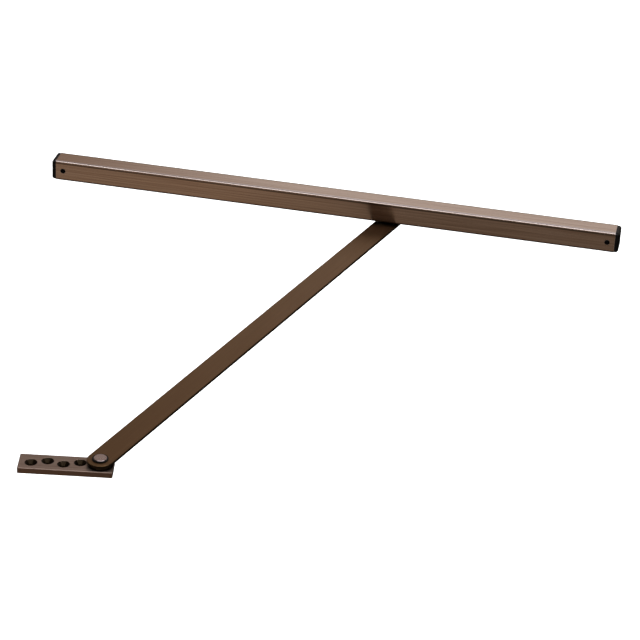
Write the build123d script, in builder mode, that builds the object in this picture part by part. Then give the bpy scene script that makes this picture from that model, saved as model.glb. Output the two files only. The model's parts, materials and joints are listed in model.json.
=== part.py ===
from build123d import *
from math import cos, radians, sin
import os

# A surface-mounted slide-track holder. A slotted square track is screwed to a sash or door. A slide runs
# in it and carries one end of a flat arm, and the arm's other end turns on a stud in a frame bracket.
#
# X runs along the track, +Y points at the sash or door that the track is screwed to, and Z is up.
# The origin is on the track's back face, halfway between its two fixing holes.

# ---------------------------------------------------------------- driving dimensions, in millimetres
track_length = 595.6
track_side = 22.2
track_wall = 1.6
track_corner = 1.7
slot_width = 9.0
fixing_bore = 5.5
fixing_inset = 7.8

cap_flange = 4.4
cap_plug = 3.0
end_block_length = 20.0
dowel_diameter = 3.0
dowel_top = -3.0
dowel_inset = 17.0

slide_from_left = 359.8
arm_reach = 558.0
arm_angle = 73.0
arm_width = 23.8
arm_thickness = 3.2
arm_gap = 1.5
arm_pin_diameter = 8.0

bracket_angle = 9.6
bracket_width = 23.8
bracket_thickness = 5.6
bracket_long_end = 71.8
bracket_short_end = 11.9
screw_bore = 5.4
screw_sink = 11.4
screw_first = 17.8
screw_pitch = 14.3
screw_stagger = 1.9
screw_count = 4

spacer_diameter = 19.5
spacer_thickness = 2.9
stud_diameter = 8.0

buffer_travel = 12.0
spring_length = 36.0
spring_turns = 7
spring_wire = 2.2
spring_coil = 13.0

fit_gap = 0.05     # radial clearance of a pin that turns or slides in its bore
face_gap = 0.1     # between flat faces that turn on each other
slide_gap = 0.3    # round whatever slides in the track
loose_gap = 0.1    # round whatever is fixed in the track
edge_break = 0.4   # broken edges of the metal bars

# ---------------------------------------------------------------- levels and stations that follow
track_y = -track_side / 2
track_bottom = -track_side / 2
bore_side = track_side - 2 * track_wall
bore_floor = -bore_side / 2
left_end = -track_length / 2
fixing_x = track_length / 2 - fixing_inset

arm_top = track_bottom - arm_gap
arm_bottom = arm_top - arm_thickness
spacer_top = arm_bottom - face_gap
bracket_top = spacer_top - spacer_thickness
bracket_bottom = bracket_top - bracket_thickness

slide_x = left_end + slide_from_left
arm_direction = Vector(-cos(radians(arm_angle)), -sin(radians(arm_angle)), 0)
stud_x = slide_x + arm_reach * arm_direction.X
stud_y = track_y + arm_reach * arm_direction.Y
bracket_direction = Vector(-cos(radians(bracket_angle)), -sin(radians(bracket_angle)), 0)

os.makedirs("parts", exist_ok=True)


# ---------------------------------------------------------------- planes that the sketches lie on
def across_track(x):
    """The track's cross-section at x, seen from the right: across is Y and up is Z."""
    return Plane(origin=(x, track_y, 0), x_dir=(0, 1, 0), z_dir=(1, 0, 0))


def track_end(direction):
    """The track's end face, facing outward, at the left for -1 and at the right for 1."""
    origin = (direction * track_length / 2, track_y, 0)
    return Plane(origin=origin, x_dir=(0, direction, 0), z_dir=(direction, 0, 0))


def arm_level(z):
    """A level plane with its origin on the slide's pivot and its first axis along the arm."""
    return Plane(origin=(slide_x, track_y, z), x_dir=arm_direction, z_dir=(0, 0, 1))


def bracket_level(z):
    """A level plane with its origin on the stud and its first axis towards the screw holes."""
    return Plane(origin=(stud_x, stud_y, z), x_dir=bracket_direction, z_dir=(0, 0, 1))


def upright(x, y):
    """An upright plane through a pivot, for profiles of radius and height."""
    return Plane(origin=(x, y, 0), x_dir=(1, 0, 0), z_dir=(0, -1, 0))


# ---------------------------------------------------------------- track
dowel_spread = (track_side + slot_width) / 4
guide_left = left_end + cap_plug + end_block_length + buffer_travel + 3.0
guide_length = 10.0
dowel_stations = [
    left_end + dowel_inset,
    guide_left + guide_length / 2,
    -left_end - dowel_inset,
]
dowel_spots = [
    (x, track_y + side * dowel_spread) for x in dowel_stations for side in (-1, 1)
]

with BuildPart() as track_tube:
    with BuildSketch(across_track(left_end)):
        RectangleRounded(track_side, track_side, track_corner)
        Rectangle(bore_side, bore_side, mode=Mode.SUBTRACT)
        with Locations((0, track_bottom)):
            Rectangle(slot_width, 2.5 * track_wall, mode=Mode.SUBTRACT)
    extrude(amount=track_length)
    with BuildSketch(Plane.XZ):
        with Locations((-fixing_x, 0), (fixing_x, 0)):
            Circle(fixing_bore / 2)
    extrude(amount=track_side, mode=Mode.SUBTRACT)
    with BuildSketch(Plane.XY.offset(track_bottom)):
        with Locations(*dowel_spots):
            Circle(dowel_diameter / 2)
    extrude(amount=track_wall, mode=Mode.SUBTRACT)
track_tube.part.label = "track_tube"
export_step(track_tube.part, "parts/track_tube.step")

# Six dowels, pressed in from the underside, hold the two end blocks and the spring guide.
with BuildPart() as track_dowels:
    with BuildSketch(Plane.XY.offset(track_bottom)):
        with Locations(*dowel_spots):
            Circle(dowel_diameter / 2)
    extrude(amount=dowel_top - track_bottom)
track_dowels.part.label = "track_dowels"
export_step(track_dowels.part, "parts/track_dowels.step")

# ---------------------------------------------------------------- end caps and end blocks
cap_side = track_side - 0.2
cap_corner = 2.6
cap_bevel = 1.7
block_side = bore_side - 2 * loose_gap

for side, direction in (("left", -1), ("right", 1)):
    with BuildPart() as end_cap:
        with BuildSketch(track_end(direction)):
            RectangleRounded(cap_side, cap_side, cap_corner)
        extrude(amount=cap_flange)
        outer_rim = end_cap.faces().sort_by(Axis.X)[0 if direction < 0 else -1].edges()
        chamfer(outer_rim, length=cap_bevel)
        with BuildSketch(track_end(direction)):
            Rectangle(block_side, block_side)
            with Locations((0, (track_bottom + bore_floor) / 2)):
                Rectangle(slot_width - 2 * loose_gap, track_wall)
        extrude(amount=-cap_plug)
    end_cap.part.label = f"end_cap_{side}"
    export_step(end_cap.part, f"parts/end_cap_{side}.step")

    # The block takes the fixing screw's clamping load off the thin walls of the track.
    with BuildPart() as end_block:
        with BuildSketch(track_end(direction).offset(-cap_plug)):
            Rectangle(block_side, block_side)
        extrude(amount=-end_block_length)
        with BuildSketch(Plane.XZ):
            with Locations((direction * fixing_x, 0)):
                Circle(fixing_bore / 2)
        extrude(amount=track_side, mode=Mode.SUBTRACT)
        with BuildSketch(Plane.XY.offset(track_bottom)):
            with Locations(*dowel_spots):
                Circle(dowel_diameter / 2)
        extrude(amount=dowel_top - track_bottom, mode=Mode.SUBTRACT)
    end_block.part.label = f"end_block_{side}"
    export_step(end_block.part, f"parts/end_block_{side}.step")

# ---------------------------------------------------------------- bumper at the far end of the track
bumper_side = 16.0
bumper_length = 6.0
bumper_dome = 1.5

with BuildPart() as far_bumper:
    with BuildSketch(track_end(1).offset(-cap_plug - end_block_length)):
        RectangleRounded(bumper_side, bumper_side, 2.0)
    extrude(amount=-bumper_length)
    fillet(far_bumper.faces().sort_by(Axis.X)[0].edges(), radius=bumper_dome)
far_bumper.part.label = "far_bumper"
export_step(far_bumper.part, "parts/far_bumper.step")

# ---------------------------------------------------------------- sprung stop at the left end
rod_diameter = 6.0
ring_groove = 0.7
ring_thickness = 1.0
rod_tail = 1.5
plunger_side = bore_side - 2 * slide_gap - 0.2
plunger_length = 12.0
plunger_left = guide_left + guide_length + spring_length
buffer_face = plunger_left + plunger_length + bumper_length

# The guide is doweled in the track. It seats the spring, and the plunger's rod slides through it.
with BuildPart() as spring_guide:
    with BuildSketch(across_track(guide_left)):
        Rectangle(block_side, block_side)
        Circle(rod_diameter / 2 + fit_gap, mode=Mode.SUBTRACT)
    extrude(amount=guide_length)
    with BuildSketch(Plane.XY.offset(track_bottom)):
        with Locations(*dowel_spots):
            Circle(dowel_diameter / 2)
    extrude(amount=dowel_top - track_bottom, mode=Mode.SUBTRACT)
spring_guide.part.label = "spring_guide"
export_step(spring_guide.part, "parts/spring_guide.step")

coil_height = spring_length - spring_wire - 2 * slide_gap
coil_start = guide_left + guide_length + slide_gap + spring_wire / 2

with BuildPart() as shock_spring:
    with BuildLine() as coil:
        Helix(
            pitch=coil_height / spring_turns,
            height=coil_height,
            radius=(spring_coil - spring_wire) / 2,
            center=(coil_start, track_y, 0),
            direction=(1, 0, 0),
        )
    with BuildSketch(Plane(origin=coil.line @ 0, z_dir=coil.line % 0)):
        Circle(spring_wire / 2)
    sweep()
shock_spring.part.label = "shock_spring"
export_step(shock_spring.part, "parts/shock_spring.step")

with BuildPart() as buffer_plunger:
    with BuildSketch(across_track(plunger_left)):
        RectangleRounded(plunger_side, plunger_side, 1.5)
    extrude(amount=plunger_length)
    with BuildSketch(across_track(guide_left - ring_thickness - rod_tail)):
        Circle(rod_diameter / 2)
    extrude(amount=plunger_left - guide_left + ring_thickness + rod_tail)
    with BuildSketch(across_track(guide_left - ring_thickness)):
        Circle(rod_diameter)
        Circle(rod_diameter / 2 - ring_groove, mode=Mode.SUBTRACT)
    extrude(amount=ring_thickness, mode=Mode.SUBTRACT)
buffer_plunger.part.label = "buffer_plunger"
export_step(buffer_plunger.part, "parts/buffer_plunger.step")

ring_width = 2.6
ring_mouth = 3.2

with BuildPart() as plunger_ring:
    with BuildSketch(across_track(guide_left - ring_thickness)):
        Circle(rod_diameter / 2 - ring_groove + ring_width)
        Circle(rod_diameter / 2 - ring_groove, mode=Mode.SUBTRACT)
        with Locations((0, rod_diameter)):
            Rectangle(ring_mouth, 2 * rod_diameter, mode=Mode.SUBTRACT)
    extrude(amount=ring_thickness - face_gap)
plunger_ring.part.label = "plunger_ring"
export_step(plunger_ring.part, "parts/plunger_ring.step")

with BuildPart() as stop_buffer:
    with BuildSketch(across_track(plunger_left + plunger_length)):
        RectangleRounded(bumper_side, bumper_side, 2.0)
    extrude(amount=bumper_length)
    fillet(stop_buffer.faces().sort_by(Axis.X)[-1].edges(), radius=bumper_dome)
stop_buffer.part.label = "stop_buffer"
export_step(stop_buffer.part, "parts/stop_buffer.step")

# ---------------------------------------------------------------- slide
shoe_side = bore_side - 2 * slide_gap
shoe_corner = 0.8
shoe_wall = 2.0
shoe_length = 20.0
slide_half = 31.0
carrier_width = 14.0
carrier_top = 4.5
carrier_bottom = -7.5
carrier_half = slide_half - shoe_wall
bushing_wall = 1.5
bushing_flange = 1.0
bushing_radius = arm_pin_diameter / 2 + fit_gap + bushing_wall

with BuildPart() as slide_block:
    with BuildSketch(Plane.XY.offset(carrier_bottom)):
        with Locations((slide_x, track_y)):
            Rectangle(2 * carrier_half, carrier_width)
            Circle(bushing_radius, mode=Mode.SUBTRACT)
    extrude(amount=carrier_top - carrier_bottom)
slide_block.part.label = "slide_block"
export_step(slide_block.part, "parts/slide_block.step")

# A shoe caps each end of the slide block and bears on all four walls of the track.
for side, direction in (("left", -1), ("right", 1)):
    outer_face = slide_x + direction * slide_half
    with BuildPart() as slide_shoe:
        with BuildSketch(across_track(outer_face)):
            RectangleRounded(shoe_side, shoe_side, shoe_corner)
        extrude(amount=-direction * shoe_length)
        with BuildSketch(across_track(outer_face - direction * shoe_wall)):
            with Locations((0, (carrier_top + carrier_bottom) / 2)):
                Rectangle(carrier_width, carrier_top - carrier_bottom)
        extrude(amount=-direction * shoe_length, mode=Mode.SUBTRACT)
        outer_rim = slide_shoe.faces().sort_by(Axis.X)[0 if direction < 0 else -1].edges()
        chamfer(outer_rim, length=0.6)
    slide_shoe.part.label = f"slide_shoe_{side}"
    export_step(slide_shoe.part, f"parts/slide_shoe_{side}.step")

with BuildPart() as slide_bushing:
    with BuildSketch(arm_level(carrier_bottom - bushing_flange)):
        Circle(bushing_radius + bushing_flange)
    extrude(amount=bushing_flange)
    with BuildSketch(arm_level(carrier_bottom)):
        Circle(bushing_radius)
    extrude(amount=carrier_top - carrier_bottom)
    with BuildSketch(arm_level(carrier_bottom - bushing_flange)):
        Circle(arm_pin_diameter / 2 + fit_gap)
    extrude(amount=carrier_top - carrier_bottom + bushing_flange, mode=Mode.SUBTRACT)
slide_bushing.part.label = "slide_bushing"
export_step(slide_bushing.part, "parts/slide_bushing.step")

# ---------------------------------------------------------------- arm
arm_press_diameter = 10.0
stud_bushing_diameter = 10.6

with BuildPart() as arm_bar:
    with BuildSketch(arm_level(arm_bottom)):
        with Locations((arm_reach / 2, 0)):
            SlotCenterToCenter(arm_reach, arm_width)
        Circle(arm_press_diameter / 2, mode=Mode.SUBTRACT)
        with Locations((arm_reach, 0)):
            Circle(stud_bushing_diameter / 2, mode=Mode.SUBTRACT)
    extrude(amount=arm_thickness)
    top_rim = arm_bar.faces().sort_by(Axis.Z)[-1].outer_wire().edges()
    bottom_rim = arm_bar.faces().sort_by(Axis.Z)[0].outer_wire().edges()
    chamfer(top_rim + bottom_rim, length=edge_break)
arm_bar.part.label = "arm_bar"
export_step(arm_bar.part, "parts/arm_bar.step")

with BuildPart() as arm_bushing:
    with BuildSketch(bracket_level(arm_bottom)):
        Circle(stud_bushing_diameter / 2)
        Circle(stud_diameter / 2 + fit_gap, mode=Mode.SUBTRACT)
    extrude(amount=arm_thickness)
arm_bushing.part.label = "arm_bushing"
export_step(arm_bushing.part, "parts/arm_bushing.step")

# ---------------------------------------------------------------- pivot pin that joins arm and slide
pin_head_radius = 7.5
pin_head_height = 1.8
pin_head_bevel = 0.8
pin_radius = arm_pin_diameter / 2
pin_groove_radius = pin_radius - ring_groove
washer_thickness = 0.9
pin_ring_bottom = carrier_top + face_gap + washer_thickness
pin_ring_top = pin_ring_bottom + ring_thickness
pin_top = pin_ring_top + 1.2

with BuildPart() as slide_pivot_pin:
    with BuildSketch(upright(slide_x, track_y)):
        with BuildLine():
            Polyline(
                (0, arm_bottom - pin_head_height),
                (pin_head_radius - pin_head_bevel, arm_bottom - pin_head_height),
                (pin_head_radius, arm_bottom - pin_head_height + pin_head_bevel),
                (pin_head_radius, arm_bottom),
                (arm_press_diameter / 2, arm_bottom),
                (arm_press_diameter / 2, arm_top),
                (pin_radius, arm_top),
                (pin_radius, pin_ring_bottom),
                (pin_groove_radius, pin_ring_bottom),
                (pin_groove_radius, pin_ring_top),
                (pin_radius, pin_ring_top),
                (pin_radius, pin_top - edge_break),
                (pin_radius - edge_break, pin_top),
                (0, pin_top),
                close=True,
            )
        make_face()
    revolve(axis=Axis((slide_x, track_y, 0), (0, 0, 1)))
slide_pivot_pin.part.label = "slide_pivot_pin"
export_step(slide_pivot_pin.part, "parts/slide_pivot_pin.step")

thrust_washer_diameter = 18.0
thrust_washer_thickness = arm_gap - 0.4

with BuildPart() as thrust_washer:
    with BuildSketch(arm_level(arm_top)):
        Circle(thrust_washer_diameter / 2)
        Circle(pin_radius, mode=Mode.SUBTRACT)
    extrude(amount=thrust_washer_thickness)
thrust_washer.part.label = "thrust_washer"
export_step(thrust_washer.part, "parts/thrust_washer.step")

with BuildPart() as friction_washer:
    with BuildSketch(arm_level(carrier_top + face_gap)):
        Circle(carrier_width / 2 - slide_gap)
        Circle(pin_radius, mode=Mode.SUBTRACT)
    extrude(amount=washer_thickness)
friction_washer.part.label = "friction_washer"
export_step(friction_washer.part, "parts/friction_washer.step")

with BuildPart() as pin_ring:
    with BuildSketch(arm_level(pin_ring_bottom)):
        Circle(pin_groove_radius + ring_width)
        Circle(pin_groove_radius, mode=Mode.SUBTRACT)
        with Locations((arm_pin_diameter, 0)):
            Rectangle(2 * arm_pin_diameter, ring_mouth, mode=Mode.SUBTRACT)
    extrude(amount=ring_thickness)
pin_ring.part.label = "pin_ring"
export_step(pin_ring.part, "parts/pin_ring.step")

# ---------------------------------------------------------------- frame bracket
stud_tail_radius = 3.5
stud_peen_radius = 5.2
stud_peen_depth = 1.9
bracket_corner = 1.0
bracket_centre = (bracket_long_end - bracket_short_end) / 2
screw_spots = [
    (screw_first + place * screw_pitch, screw_stagger * (-1) ** (place + 1))
    for place in range(screw_count)
]

with BuildPart() as frame_bracket:
    with BuildSketch(bracket_level(bracket_bottom)):
        with Locations((bracket_centre, 0)):
            RectangleRounded(
                bracket_long_end + bracket_short_end, bracket_width, bracket_corner
            )
    extrude(amount=bracket_thickness)
    chamfer(frame_bracket.faces().sort_by(Axis.Z)[-1].edges(), length=edge_break)
    with Locations(bracket_level(bracket_top)):
        with Locations(*screw_spots):
            CounterSinkHole(screw_bore / 2, screw_sink / 2, counter_sink_angle=82)
    with BuildSketch(upright(stud_x, stud_y)):
        with BuildLine():
            Polyline(
                (0, bracket_bottom),
                (stud_peen_radius, bracket_bottom),
                (stud_tail_radius, bracket_bottom + stud_peen_depth),
                (stud_tail_radius, bracket_top),
                (0, bracket_top),
                close=True,
            )
        make_face()
    revolve(axis=Axis((stud_x, stud_y, 0), (0, 0, 1)), mode=Mode.SUBTRACT)
frame_bracket.part.label = "frame_bracket"
export_step(frame_bracket.part, "parts/frame_bracket.step")

# ---------------------------------------------------------------- stud, its washer and the spacer
head_washer_diameter = 14.2
head_washer_thickness = 0.8
stud_head_radius = 5.9
stud_head_bevel = 0.4
stud_head_height = 0.7
head_bottom = arm_top + face_gap + head_washer_thickness
head_top = head_bottom + stud_head_height

with BuildPart() as pivot_stud:
    with BuildSketch(upright(stud_x, stud_y)):
        with BuildLine():
            Polyline(
                (0, bracket_bottom),
                (stud_peen_radius, bracket_bottom),
                (stud_tail_radius, bracket_bottom + stud_peen_depth),
                (stud_tail_radius, bracket_top),
                (stud_diameter / 2, bracket_top),
                (stud_diameter / 2, head_bottom),
                (stud_head_radius, head_bottom),
                (stud_head_radius, head_top - stud_head_bevel),
                (stud_head_radius - stud_head_bevel, head_top),
                (0, head_top),
                close=True,
            )
        make_face()
    revolve(axis=Axis((stud_x, stud_y, 0), (0, 0, 1)))
pivot_stud.part.label = "pivot_stud"
export_step(pivot_stud.part, "parts/pivot_stud.step")

with BuildPart() as head_washer:
    with BuildSketch(bracket_level(arm_top + face_gap)):
        Circle(head_washer_diameter / 2)
        Circle(stud_diameter / 2, mode=Mode.SUBTRACT)
    extrude(amount=head_washer_thickness)
head_washer.part.label = "head_washer"
export_step(head_washer.part, "parts/head_washer.step")

with BuildPart() as pivot_spacer:
    with BuildSketch(bracket_level(bracket_top)):
        Circle(spacer_diameter / 2)
        Circle(stud_diameter / 2, mode=Mode.SUBTRACT)
    extrude(amount=spacer_thickness)
pivot_spacer.part.label = "pivot_spacer"
export_step(pivot_spacer.part, "parts/pivot_spacer.step")
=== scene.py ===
import json
from math import atan2, cos, radians, sin

import bpy
from mathutils import Matrix, Vector


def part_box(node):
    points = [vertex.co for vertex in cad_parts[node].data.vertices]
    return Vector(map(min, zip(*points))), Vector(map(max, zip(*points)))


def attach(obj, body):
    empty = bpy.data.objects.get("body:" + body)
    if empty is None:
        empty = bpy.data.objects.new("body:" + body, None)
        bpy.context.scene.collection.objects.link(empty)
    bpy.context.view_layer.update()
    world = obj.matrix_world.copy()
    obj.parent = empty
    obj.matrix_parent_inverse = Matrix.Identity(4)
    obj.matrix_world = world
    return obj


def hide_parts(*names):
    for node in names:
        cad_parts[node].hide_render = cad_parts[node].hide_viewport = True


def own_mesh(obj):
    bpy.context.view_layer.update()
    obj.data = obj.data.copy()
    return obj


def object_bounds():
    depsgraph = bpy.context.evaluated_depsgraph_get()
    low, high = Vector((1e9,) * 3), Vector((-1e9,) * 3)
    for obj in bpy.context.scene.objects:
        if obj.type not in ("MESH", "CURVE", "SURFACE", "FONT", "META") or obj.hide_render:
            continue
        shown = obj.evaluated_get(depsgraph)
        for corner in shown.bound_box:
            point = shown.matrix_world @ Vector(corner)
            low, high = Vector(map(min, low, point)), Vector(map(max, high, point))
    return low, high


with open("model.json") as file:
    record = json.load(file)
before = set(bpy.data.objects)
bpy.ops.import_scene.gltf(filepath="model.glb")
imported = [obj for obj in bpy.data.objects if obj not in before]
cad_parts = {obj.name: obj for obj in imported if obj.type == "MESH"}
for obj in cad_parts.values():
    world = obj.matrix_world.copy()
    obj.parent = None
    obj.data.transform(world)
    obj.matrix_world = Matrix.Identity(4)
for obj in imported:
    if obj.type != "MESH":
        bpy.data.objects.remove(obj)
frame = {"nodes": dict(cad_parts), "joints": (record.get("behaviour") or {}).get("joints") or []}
cad_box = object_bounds()

# ---------------------------------------------------------------- sizes and places, in metres
CAMERA_TARGET = Vector((0.0345, -0.2447, -0.0122))
CAMERA_AZIMUTH = radians(10.0)
CAMERA_ELEVATION = radians(28.85)
CAMERA_ROLL = radians(3.0)
CAMERA_DISTANCE = 2.4586
CAMERA_LENS_MM = 142.7
CAMERA_SENSOR_MM = 36.0

FLOOR_DROP = 0.5
FLOOR_SIZE = 24.0
CARD_LEVEL = -0.32
CARD_HALF_LENGTH = 5.0

JOINTS = {joint["name"]: joint for joint in frame["joints"]}
ARM_PIVOT = Vector(JOINTS["arm_swing"]["pos_m"])
STUD_PIVOT = Vector(JOINTS["bracket_swing"]["pos_m"])
ARM_DIRECTION = (STUD_PIVOT - ARM_PIVOT).to_2d().normalized()
ARM_TURN = atan2(ARM_DIRECTION.y, ARM_DIRECTION.x)
BRACKET_TURN = radians(9.6)
BRACKET_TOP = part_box("frame_bracket")[1][2]
HOLE_ROW_HALF_WIDTH = 0.0100

# ---------------------------------------------------------------- finishes, painted shade and painted highlights
# Painted shade for holes, joints, the bracket's countersunk holes and places close to other parts.
PAINTED_SHADE = (0.020, 0.013, 0.007)
BLACKENED = ((0.020, 0.015, 0.011), (0.05, 0.038, 0.028), (0.12, 0.09, 0.07))
BRIGHT_WIRE = ((0.30, 0.30, 0.31), (0.42, 0.42, 0.43), (0.55, 0.55, 0.56))
# Painted highlight and painted dark reflections along the track's edges.
PAINTED_HIGHLIGHT = (0.47, 0.395, 0.375)
PAINTED_DARK_REFLECTION = (0.13, 0.092, 0.072)
PAINTED_FAINT_DARK_REFLECTION = (0.25, 0.19, 0.15)

STREAK_SIZE = (0.160, 0.0016, 0.0016)
HAIRLINE_SIZE = (0.080, 0.00055, 0.00055)
CLOUD_SIZE = (0.060, 0.016, 0.016)
BRUSHING_DEPTH = 0.000006
BRUSHING_ANISOTROPY = 0.75
EDGE_ROUGHNESS = 0.22
RING_PITCH = 0.0004


# ---------------------------------------------------------------- node helpers
class Recipe:
    """One material's node tree around a Principled shader, with short calls for the nodes that repeat."""

    def __init__(self, name, metallic, specular=0.5):
        self.material = bpy.data.materials.new(name)
        self.material.use_nodes = True
        self.nodes = self.material.node_tree.nodes
        self.links = self.material.node_tree.links
        self.shader = self.nodes["Principled BSDF"]
        self.shader.inputs["Metallic"].default_value = metallic
        self.shader.inputs["Specular IOR Level"].default_value = specular
        self.coordinates = self.nodes.new("ShaderNodeTexCoord").outputs["Object"]

    def noise(self, size, turn=0.0, detail=3.0):
        """Noise whose cells measure size (x, y, z), along axes turned about Z."""
        mapping = self.nodes.new("ShaderNodeMapping")
        mapping.vector_type = "TEXTURE"
        mapping.inputs["Rotation"].default_value = (0.0, 0.0, turn)
        mapping.inputs["Scale"].default_value = size
        self.links.new(self.coordinates, mapping.inputs["Vector"])
        texture = self.nodes.new("ShaderNodeTexNoise")
        texture.inputs["Scale"].default_value = 1.0
        texture.inputs["Detail"].default_value = detail
        self.links.new(mapping.outputs["Vector"], texture.inputs["Vector"])
        return texture.outputs["Fac"]

    def distance(self, centre, weights):
        """The distance from centre, with each axis counted by its weight."""
        offset = self.nodes.new("ShaderNodeVectorMath")
        offset.operation = "SUBTRACT"
        offset.inputs[1].default_value = centre
        self.links.new(self.coordinates, offset.inputs[0])
        weighted = self.nodes.new("ShaderNodeVectorMath")
        weighted.operation = "MULTIPLY"
        weighted.inputs[1].default_value = weights
        self.links.new(offset.outputs["Vector"], weighted.inputs[0])
        length = self.nodes.new("ShaderNodeVectorMath")
        length.operation = "LENGTH"
        self.links.new(weighted.outputs["Vector"], length.inputs[0])
        return length.outputs["Value"]

    def rings(self, centre, pitch):
        """Noise that only changes with the distance from an upright axis through centre: turning marks."""
        texture = self.nodes.new("ShaderNodeTexNoise")
        texture.noise_dimensions = "1D"
        texture.inputs["Scale"].default_value = 1.0
        self.links.new(self.distance(centre, (1.0 / pitch, 1.0 / pitch, 0.0)), texture.inputs["W"])
        return texture.outputs["Fac"]

    def line_mask(self, y, z, reach):
        """One on a line along X at that y and z, and nought beyond reach of it."""
        off_line = self.distance((0.0, y, z), (0.0, 1.0, 1.0))
        return self.spread(off_line, 1.0, 0.0, start=0.5 * reach, stop=reach)

    def spread(self, value, low, high, start=0.3, stop=0.7):
        """Maps value from start..stop to low..high."""
        node = self.nodes.new("ShaderNodeMapRange")
        node.inputs["From Min"].default_value = start
        node.inputs["From Max"].default_value = stop
        node.inputs["To Min"].default_value = low
        node.inputs["To Max"].default_value = high
        self.links.new(value, node.inputs["Value"])
        return node.outputs["Result"]

    def mix(self, factor, first, second):
        """Mixes two colours, each a triple or another node's output."""
        node = self.nodes.new("ShaderNodeMix")
        node.data_type = "RGBA"
        self.links.new(factor, node.inputs["Factor"])
        for socket, colour in ((node.inputs["A"], first), (node.inputs["B"], second)):
            if isinstance(colour, tuple):
                socket.default_value = (*colour, 1.0)
            else:
                self.links.new(colour, socket)
        return node.outputs["Result"]

    def combine(self, operation, first, second):
        """One value made from two by a math operation."""
        node = self.nodes.new("ShaderNodeMath")
        node.operation = operation
        self.links.new(first, node.inputs[0])
        self.links.new(second, node.inputs[1])
        return node.outputs["Value"]

    def add(self, first, second):
        """The sum of two values."""
        return self.combine("ADD", first, second)

    def multiply(self, first, second):
        """The product of two values."""
        return self.combine("MULTIPLY", first, second)

    def edge_mask(self, radius):
        """One along sharp edges and nought on flat faces."""
        bevel = self.nodes.new("ShaderNodeBevel")
        bevel.samples = 8
        bevel.inputs["Radius"].default_value = radius
        normal = self.nodes.new("ShaderNodeNewGeometry").outputs["Normal"]
        dot = self.nodes.new("ShaderNodeVectorMath")
        dot.operation = "DOT_PRODUCT"
        self.links.new(bevel.outputs["Normal"], dot.inputs[0])
        self.links.new(normal, dot.inputs[1])
        return self.spread(dot.outputs["Value"], 1.0, 0.0, start=0.75, stop=0.98)

    def recess_mask(self, reach):
        """One deep in holes and joints and nought in the open, judged from surfaces within reach."""
        shade = self.nodes.new("ShaderNodeAmbientOcclusion")
        shade.samples = 8
        shade.inputs["Distance"].default_value = reach
        return self.spread(shade.outputs["AO"], 1.0, 0.0, start=0.35, stop=0.80)

    def part_of(self, vector, axis):
        """One of a vector's three parts."""
        parts = self.nodes.new("ShaderNodeSeparateXYZ")
        self.links.new(vector, parts.inputs["Vector"])
        return parts.outputs[axis]

    def size_of(self, value):
        """The value without its sign."""
        node = self.nodes.new("ShaderNodeMath")
        node.operation = "ABSOLUTE"
        self.links.new(value, node.inputs[0])
        return node.outputs["Value"]

    def sunk_mask(self, level, middle, turn, half_width):
        """One under the given height within half_width of a line through middle, turned by turn about Z."""
        mapping = self.nodes.new("ShaderNodeMapping")
        mapping.vector_type = "TEXTURE"
        mapping.inputs["Location"].default_value = middle
        mapping.inputs["Rotation"].default_value = (0.0, 0.0, turn)
        self.links.new(self.coordinates, mapping.inputs["Vector"])
        off_line = self.size_of(self.part_of(mapping.outputs["Vector"], "Y"))
        near = self.spread(off_line, 1.0, 0.0, start=half_width - 0.0005, stop=half_width)
        height = self.part_of(self.coordinates, "Z")
        sunk = self.spread(height, 1.0, 0.0, start=level - 0.0003, stop=level - 0.0001)
        return self.multiply(near, sunk)

    def side_mask(self):
        """One on upright faces and nought on level ones."""
        normal = self.nodes.new("ShaderNodeNewGeometry").outputs["Normal"]
        return self.spread(self.size_of(self.part_of(normal, "Z")), 1.0, 0.0, start=0.3, stop=0.9)

    def brushed_along(self, turn, anisotropy):
        """Stretches the reflections across brushing that runs along X turned by turn about Z."""
        grooves = self.nodes.new("ShaderNodeCombineXYZ")
        grooves.inputs["X"].default_value = cos(turn)
        grooves.inputs["Y"].default_value = sin(turn)
        to_world = self.nodes.new("ShaderNodeVectorTransform")
        to_world.vector_type = "VECTOR"
        to_world.convert_from = "OBJECT"
        to_world.convert_to = "WORLD"
        self.links.new(grooves.outputs["Vector"], to_world.inputs["Vector"])
        self.links.new(to_world.outputs["Vector"], self.shader.inputs["Tangent"])
        self.shader.inputs["Anisotropic"].default_value = anisotropy
        self.shader.inputs["Anisotropic Rotation"].default_value = 0.25

    def colour(self, value):
        """Gives the shader its base colour."""
        self.links.new(value, self.shader.inputs["Base Color"])

    def roughness(self, value):
        """Gives the shader its roughness."""
        self.links.new(value, self.shader.inputs["Roughness"])

    def bump(self, height, depth):
        """Raises the surface by up to depth, in metres, where height is one."""
        node = self.nodes.new("ShaderNodeBump")
        node.inputs["Strength"].default_value = 1.0
        node.inputs["Distance"].default_value = depth
        self.links.new(height, node.inputs["Height"])
        self.links.new(node.outputs["Normal"], self.shader.inputs["Normal"])


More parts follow.
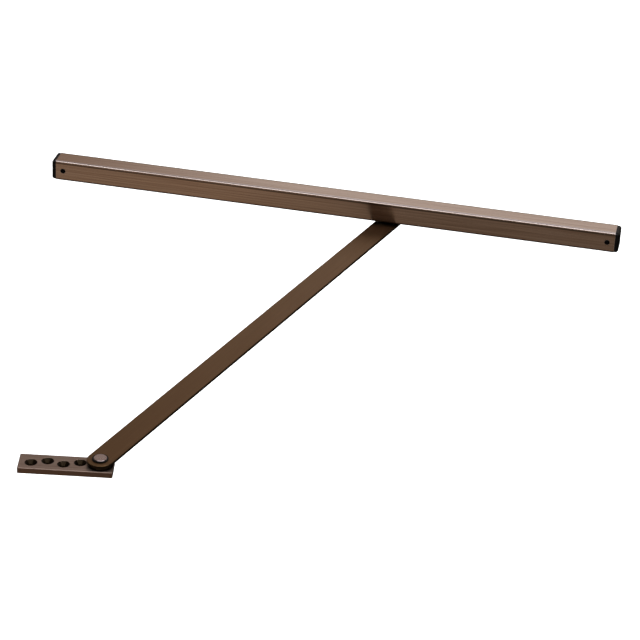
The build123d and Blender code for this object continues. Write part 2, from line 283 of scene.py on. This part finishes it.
# ---------------------------------------------------------------- materials
def brushed_metal(
    name,
    dark,
    light,
    edge_colour,
    turn=0.0,
    rough=(0.17, 0.26),
    edge_width=0.0008,
    painted_side_shade=None,
    sunk=None,
    painted_shade_reach=0.010,
    lines=(),
):
    """Satin metal, brushed along X turned by turn about Z, with its edges in the given edge colour.

    Painted shade darkens holes, joints and places close to other parts, judged from surfaces within the
    given reach. Painted shade also fills the region that sunk gives, in sunk_mask's terms. Upright faces
    take the given side colour, a painted shade, if one is given. Each of the lines is a place, in
    line_mask's terms, and a colour painted along it; the track's lines are a painted highlight and painted
    dark reflections.
    """
    recipe = Recipe(name, metallic=1.0)
    streaks = recipe.noise(STREAK_SIZE, turn)
    hairlines = recipe.noise(HAIRLINE_SIZE, turn, detail=2.0)
    clouds = recipe.noise(CLOUD_SIZE, turn)
    brushing = recipe.add(streaks, hairlines)
    body = recipe.mix(recipe.spread(brushing, 0.0, 1.0, start=0.75, stop=1.25), dark, light)
    faded = recipe.mix(recipe.spread(clouds, 0.0, 0.4), body, light)
    edges = recipe.edge_mask(edge_width)
    # Edges take their own colour, which on the arm is painted shade.
    shown = recipe.mix(edges, faded, edge_colour)
    # Painted highlights and painted dark reflections along the given lines.
    for line, tint in lines:
        shown = recipe.mix(recipe.line_mask(*line), shown, tint)
    # Painted shade on upright faces.
    if painted_side_shade:
        shown = recipe.mix(recipe.side_mask(), shown, painted_side_shade)
    # Painted shade over the sunk region.
    if sunk:
        shown = recipe.mix(recipe.sunk_mask(*sunk), shown, PAINTED_SHADE)
    # Painted shade: ambient occlusion darkens holes, joints and places close to other parts.
    recipe.colour(recipe.mix(recipe.recess_mask(painted_shade_reach), shown, PAINTED_SHADE))
    satin = recipe.spread(recipe.add(streaks, clouds), *rough, start=0.7, stop=1.3)
    recipe.roughness(recipe.add(satin, recipe.spread(edges, 0.0, EDGE_ROUGHNESS, start=0.0, stop=1.0)))
    recipe.bump(brushing, BRUSHING_DEPTH)
    recipe.brushed_along(turn, BRUSHING_ANISOTROPY)
    return recipe.material


def turned_steel(name, dark, light, edge_colour, centre, rough=(0.22, 0.38), painted_side_shade=None):
    """Steel with the fine rings of a lathe or a spin-riveting tool about an upright axis.

    Upright faces take the given side colour, a painted shade, if one is given.
    """
    recipe = Recipe(name, metallic=1.0)
    marks = recipe.rings(centre, RING_PITCH)
    clouds = recipe.noise((0.004, 0.004, 0.004))
    body = recipe.mix(recipe.spread(marks, 0.0, 1.0), dark, light)
    shown = recipe.mix(recipe.edge_mask(0.0004), body, edge_colour)
    # Painted shade on upright faces.
    if painted_side_shade:
        shown = recipe.mix(recipe.side_mask(), shown, painted_side_shade)
    recipe.colour(shown)
    recipe.roughness(recipe.spread(clouds, *rough))
    recipe.bump(marks, 0.00001)
    return recipe.material


def moulded_plastic(name, colour, faded, rough=(0.40, 0.55)):
    """Plastic with a fine spark-eroded skin, a little paler along its edges."""
    recipe = Recipe(name, metallic=0.0, specular=0.1)
    skin = recipe.noise((0.0005, 0.0005, 0.0005), detail=2.0)
    clouds = recipe.noise((0.008, 0.008, 0.008))
    body = recipe.mix(recipe.spread(clouds, 0.0, 0.4), colour, faded)
    recipe.colour(recipe.mix(recipe.edge_mask(0.0005), body, faded))
    recipe.roughness(recipe.spread(clouds, *rough))
    recipe.bump(skin, 0.00002)
    return recipe.material


def rubber():
    """Dull black rubber with a dusty bloom."""
    recipe = Recipe("rubber", metallic=0.0, specular=0.3)
    bloom = recipe.noise((0.003, 0.003, 0.003), detail=5.0)
    recipe.colour(recipe.mix(recipe.spread(bloom, 0.0, 1.0), (0.012, 0.012, 0.012), (0.035, 0.034, 0.032)))
    recipe.roughness(recipe.spread(bloom, 0.62, 0.85))
    recipe.bump(recipe.noise((0.0007, 0.0007, 0.0007)), 0.00004)
    return recipe.material


def cast_metal():
    """Grey die-cast metal with a slightly pebbled skin."""
    recipe = Recipe("cast_metal", metallic=1.0)
    pebble = recipe.noise((0.0009, 0.0009, 0.0009), detail=4.0)
    clouds = recipe.noise((0.010, 0.010, 0.010))
    body = recipe.mix(recipe.spread(clouds, 0.0, 1.0), (0.30, 0.30, 0.31), (0.46, 0.46, 0.47))
    recipe.colour(recipe.mix(recipe.edge_mask(0.0004), body, (0.62, 0.62, 0.63)))
    recipe.roughness(recipe.spread(pebble, 0.38, 0.58))
    recipe.bump(pebble, 0.00004)
    return recipe.material


def sintered_bronze():
    """Oil-filled bearing bronze with fine pores."""
    recipe = Recipe("sintered_bronze", metallic=1.0)
    pores = recipe.noise((0.0004, 0.0004, 0.0004), detail=4.0)
    recipe.colour(recipe.mix(recipe.spread(pores, 0.0, 1.0), (0.28, 0.16, 0.06), (0.55, 0.36, 0.16)))
    recipe.roughness(recipe.spread(pores, 0.50, 0.32))
    recipe.bump(pores, 0.00003)
    return recipe.material


def give(material, *nodes):
    """Puts one material in every slot of the named CAD nodes."""
    for node in nodes:
        data = frame["nodes"][node].data
        data.materials.clear()
        data.materials.append(material)


# Lines along the tube, placed to match the photograph. A painted highlight runs along the front corner, on
# the top face. Painted dark reflections run just under it, along the front face's lower edge and, fainter,
# along the top face's back edge.
(_, track_front, track_bottom), (_, track_back, track_top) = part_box("track_tube")
TRACK_PAINTED_LIGHT_LINES = (
    ((track_front + 0.0018, track_top, 0.0016), PAINTED_HIGHLIGHT),
    ((track_front, track_top - 0.0026, 0.0010), PAINTED_DARK_REFLECTION),
    ((track_front, track_bottom, 0.0026), PAINTED_DARK_REFLECTION),
    ((track_back, track_top, 0.0042), PAINTED_FAINT_DARK_REFLECTION),
)
give(
    brushed_metal(
        "track_bronze",
        dark=(0.28, 0.195, 0.15),
        light=(0.45, 0.34, 0.28),
        edge_colour=(0.275, 0.24, 0.245),
        lines=TRACK_PAINTED_LIGHT_LINES,
    ),
    "track_tube",
)
give(
    brushed_metal(
        "arm_bronze",
        dark=(0.135, 0.072, 0.032),
        light=(0.170, 0.092, 0.042),
        # The arm's near-black edge colour is painted shade along its edges.
        edge_colour=(0.035, 0.022, 0.014),
        turn=ARM_TURN,
        rough=(0.44, 0.52),
        # Painted shade on the arm's upright faces.
        painted_side_shade=(0.018, 0.011, 0.006),
        # A wide reach, so that painted shade darkens the arm near the track and near the stud.
        painted_shade_reach=0.055,
    ),
    "arm_bar",
)
give(
    brushed_metal(
        "bracket_bronze",
        dark=(0.200, 0.136, 0.106),
        light=(0.300, 0.210, 0.165),
        edge_colour=(0.17, 0.122, 0.100),
        turn=BRACKET_TURN,
        rough=(0.32, 0.44),
        edge_width=0.0006,
        # Painted shade on the bracket's upright faces.
        painted_side_shade=(0.16, 0.100, 0.073),
        # Painted shade in the countersunk holes along the bracket's row of holes.
        sunk=(BRACKET_TOP, STUD_PIVOT, BRACKET_TURN, HOLE_ROW_HALF_WIDTH),
    ),
    "frame_bracket",
)
give(
    turned_steel(
        "stud_steel",
        dark=(0.29, 0.215, 0.20),
        light=(0.42, 0.33, 0.31),
        edge_colour=(0.5, 0.42, 0.4),
        centre=STUD_PIVOT,
        # Painted shade on the stud head's upright flank.
        painted_side_shade=(0.02, 0.014, 0.01),
    ),
    "pivot_stud",
)
give(turned_steel("blackened_stud_parts", *BLACKENED, STUD_PIVOT), "pivot_spacer")
give(turned_steel("blackened_pin_parts", *BLACKENED, ARM_PIVOT), "slide_pivot_pin", "track_dowels")
give(
    turned_steel("spring_steel", *BRIGHT_WIRE, ARM_PIVOT),
    "pin_ring",
    "friction_washer",
    "plunger_ring",
    "shock_spring",
)
give(
    moulded_plastic("black_plastic", (0.0020, 0.0016, 0.0013), (0.0050, 0.0042, 0.0036)),
    "end_cap_left",
    "end_cap_right",
    "end_block_left",
    "end_block_right",
    "thrust_washer",
    "head_washer",
)
give(
    moulded_plastic("nylon", (0.62, 0.60, 0.53), (0.74, 0.72, 0.66), rough=(0.30, 0.44)),
    "slide_shoe_left",
    "slide_shoe_right",
    "buffer_plunger",
)
give(rubber(), "far_bumper", "stop_buffer")
give(cast_metal(), "spring_guide", "slide_block")
give(sintered_bronze(), "slide_bushing", "arm_bushing")


def working_spring():
    """The shock spring as a mesh of its own, carried by the track in place of the CAD spring."""
    node = frame["nodes"]["shock_spring"]
    coil = bpy.data.objects.new("shock_coil", node.data.copy())
    bpy.context.scene.collection.objects.link(coil)
    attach(coil, "track")
    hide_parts("shock_spring")
    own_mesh(coil)


working_spring()


# ---------------------------------------------------------------- stage, light and camera
def rectangle(name, centre, across, along, material):
    """A flat stage card, given by its centre and the two half-edges that span it."""
    corners = [centre + a * across + b * along for a, b in ((-1, -1), (1, -1), (1, 1), (-1, 1))]
    mesh = bpy.data.meshes.new(name)
    mesh.from_pydata([tuple(corner) for corner in corners], [], [(0, 1, 2, 3)])
    mesh.materials.append(material)
    card = bpy.data.objects.new(name, mesh)
    bpy.context.scene.collection.objects.link(card)
    return card


def floor_material():
    """Plain pale matt studio floor."""
    recipe = Recipe("pale_floor", metallic=0.0, specular=0.0)
    recipe.shader.inputs["Base Color"].default_value = (0.9, 0.9, 0.9, 1.0)
    recipe.shader.inputs["Roughness"].default_value = 1.0
    return recipe.material


def glow(name, left, right, left_x=-1.0, right_x=1.0):
    """A glowing material that fades along X from the left colour to the right one."""
    material = bpy.data.materials.new(name)
    material.use_nodes = True
    nodes = material.node_tree.nodes
    links = material.node_tree.links
    nodes.clear()
    place = nodes.new("ShaderNodeSeparateXYZ")
    links.new(nodes.new("ShaderNodeTexCoord").outputs["Object"], place.inputs["Vector"])
    fade = nodes.new("ShaderNodeMapRange")
    fade.inputs["From Min"].default_value = left_x
    fade.inputs["From Max"].default_value = right_x
    links.new(place.outputs["X"], fade.inputs["Value"])
    mix = nodes.new("ShaderNodeMix")
    mix.data_type = "RGBA"
    mix.inputs["A"].default_value = (*left, 1.0)
    mix.inputs["B"].default_value = (*right, 1.0)
    links.new(fade.outputs["Result"], mix.inputs["Factor"])
    emission = nodes.new("ShaderNodeEmission")
    links.new(mix.outputs["Result"], emission.inputs["Color"])
    output = nodes.new("ShaderNodeOutputMaterial")
    links.new(emission.outputs["Emission"], output.inputs["Surface"])
    return material


def reflected_only(card):
    """A studio card that only shows as a reflection in the metal."""
    card.visible_camera = False
    card.visible_diffuse = False
    card.visible_shadow = False
    card.visible_transmission = False


def softbox(name, place, aim, width, height, power, colour=(1.0, 1.0, 1.0), glossy=True):
    """A rectangular light at place, turned towards aim. It is left out of reflections if glossy is off."""
    light = bpy.data.lights.new(name, "AREA")
    light.shape = "RECTANGLE"
    light.size = width
    light.size_y = height
    light.energy = power
    light.color = colour
    lamp = bpy.data.objects.new(name, light)
    lamp.location = place
    lamp.rotation_euler = (Vector(aim) - Vector(place)).to_track_quat("-Z", "Y").to_euler()
    lamp.visible_camera = False
    lamp.visible_glossy = glossy
    bpy.context.scene.collection.objects.link(lamp)


def world_light(colour, strength):
    """Even light from all round."""
    world = bpy.data.worlds.new("studio")
    world.use_nodes = True
    background = world.node_tree.nodes["Background"]
    background.inputs["Color"].default_value = (*colour, 1.0)
    background.inputs["Strength"].default_value = strength
    bpy.context.scene.world = world


def camera():
    """A camera that looks at the target from the stated azimuth, elevation and distance, rolled a little."""
    heading = Vector((-sin(CAMERA_AZIMUTH), cos(CAMERA_AZIMUTH), 0.0))
    forward = heading * cos(CAMERA_ELEVATION) - Vector((0, 0, sin(CAMERA_ELEVATION)))
    level_right = Vector((heading.y, -heading.x, 0.0))
    level_up = level_right.cross(forward)
    right = level_right * cos(CAMERA_ROLL) + level_up * sin(CAMERA_ROLL)
    up = level_up * cos(CAMERA_ROLL) - level_right * sin(CAMERA_ROLL)
    data = bpy.data.cameras.new("camera")
    data.lens = CAMERA_LENS_MM
    data.sensor_width = CAMERA_SENSOR_MM
    eye = bpy.data.objects.new("camera", data)
    turn = Matrix((right, up, -forward)).transposed()
    eye.matrix_world = Matrix.Translation(CAMERA_TARGET - forward * CAMERA_DISTANCE) @ turn.to_4x4()
    bpy.context.scene.collection.objects.link(eye)
    bpy.context.scene.camera = eye


floor_level = cad_box[0][2] - FLOOR_DROP
half_floor = FLOOR_SIZE / 2
rectangle(
    "floor",
    Vector((0, 0, floor_level)),
    Vector((half_floor, 0, 0)),
    Vector((0, half_floor, 0)),
    floor_material(),
)
card_half = Vector((CARD_HALF_LENGTH, 0, 0))
# The cards' fades are tuned so that the track changes in tone from left to right as photographed.
under = glow("under_glow", (0.445, 0.345, 0.255), (0.250, 0.200, 0.152), -0.24, -0.02)
shade = glow("shade_glow", (0.04, 0.03, 0.02), (0.04, 0.03, 0.02))
back = glow("back_glow", (0.46, 0.355, 0.285), (1.05, 1.02, 1.00), -1.06, -0.50)
reflected_only(rectangle("under_card", Vector((0, -2.7, CARD_LEVEL)), card_half, Vector((0, 2.3, 0)), under))
reflected_only(rectangle("shade_card", Vector((0, 2.3, CARD_LEVEL)), card_half, Vector((0, 2.7, 0)), shade))
reflected_only(rectangle("front_wall", Vector((0, -4.5, 1.6)), card_half, Vector((0, 0, 1.9)), shade))
reflected_only(rectangle("back_card", Vector((0, 2.4, 1.55)), card_half, Vector((0, 0, 0.95)), back))

world_light((1.0, 0.92, 0.84), 0.25)
softbox(
    "overhead",
    place=(0.5, -1.0, 1.85),
    aim=(0.3, 0.0, 0.0),
    width=3.4,
    height=1.5,
    power=57.0,
    colour=(0.82, 0.90, 1.0),
)
softbox(
    "floor_wash",
    place=(0.0, 1.2, 3.0),
    aim=(0.0, 0.9, -0.5),
    width=4.0,
    height=3.0,
    power=250.0,
    glossy=False,
)
camera()
bpy.context.scene.view_settings.view_transform = "Standard"
